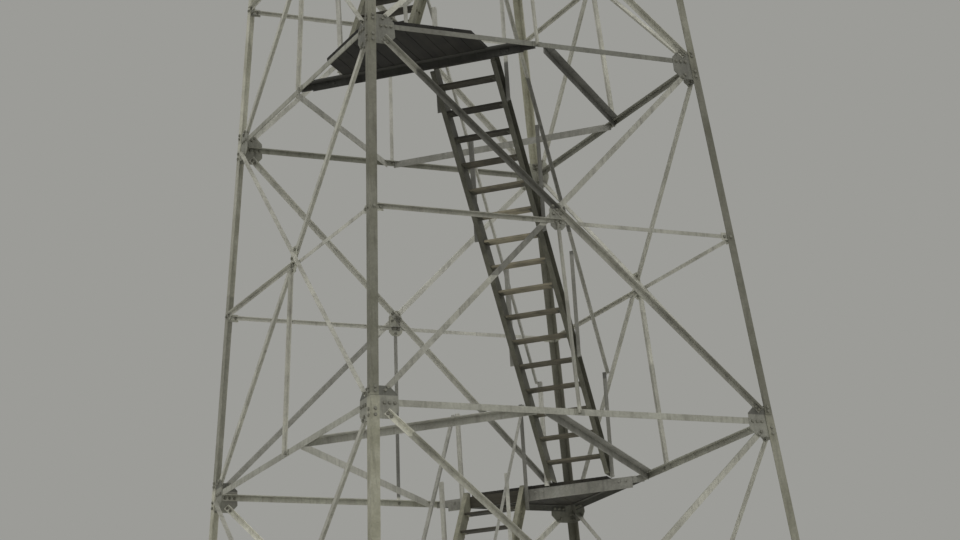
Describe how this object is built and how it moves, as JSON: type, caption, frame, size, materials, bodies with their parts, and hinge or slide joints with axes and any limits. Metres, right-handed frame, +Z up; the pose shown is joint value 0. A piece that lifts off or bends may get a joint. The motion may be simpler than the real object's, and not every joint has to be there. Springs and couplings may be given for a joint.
{
  "type": "fire lookout tower",
  "caption": "Tapering lookout tower of steel angles with crossed braces, a switchback stair with corner landings and handrails, and a small glazed cab on top.",
  "frame": {"origin": "on the ground in the middle of the four feet", "axes": "+Z up; the faces of the tower look along X and Y; the stair runs on the diagonal between the -X -Y leg and the +X +Y leg"},
  "size_m": [4.9284, 4.9284, 18.1497],
  "materials": {
    "galvanised_steel": "old hot-dip galvanising, matt pale grey",
    "brace_steel": "old galvanising, darker and streaked",
    "stair_steel": "old galvanising dulled to dark olive grey",
    "old_planks": "bare planks weathered dark grey-brown",
    "cab_boards": "boards with worn pale grey paint",
    "window_glass": "clear panes",
    "roof_boards": "boards under weathered sheet"
  },
  "bodies": {
    "root": {"southwest_leg": "galvanised_steel", "southeast_leg": "galvanised_steel", "northeast_leg": "galvanised_steel", "northwest_leg": "galvanised_steel", "base_plates": "galvanised_steel", "south_braces": "brace_steel", "east_braces": "brace_steel", "north_braces": "brace_steel", "west_braces": "brace_steel", "south_plates": "galvanised_steel", "east_plates": "galvanised_steel", "north_plates": "galvanised_steel", "west_plates": "galvanised_steel", "ring_1_struts": "galvanised_steel", "ring_2_struts": "galvanised_steel", "ring_3_struts": "galvanised_steel", "ring_4_struts": "galvanised_steel", "ring_5_struts": "galvanised_steel", "landing_beams": "stair_steel", "side_beams": "stair_steel", "cab_joists": "stair_steel", "landing_1_deck": "old_planks", "landing_2_deck": "old_planks", "landing_3_deck": "old_planks", "landing_4_deck": "old_planks", "flight_1_stringers": "stair_steel", "flight_2_stringers": "stair_steel", "flight_3_stringers": "stair_steel", "flight_4_stringers": "stair_steel", "flight_5_stringers": "stair_steel", "flight_1_treads": "old_planks", "flight_2_treads": "old_planks", "flight_3_treads": "old_planks", "flight_4_treads": "old_planks", "flight_5_treads": "old_planks", "rail_posts": "galvanised_steel", "handrails": "galvanised_steel", "cab_floor": "old_planks", "cab_south_wall": "cab_boards", "cab_east_wall": "cab_boards", "cab_north_wall": "cab_boards", "cab_west_wall": "cab_boards", "cab_sashes": "cab_boards", "cab_glazing": "window_glass", "cab_roof": "roof_boards"}
  },
  "joints": []
}
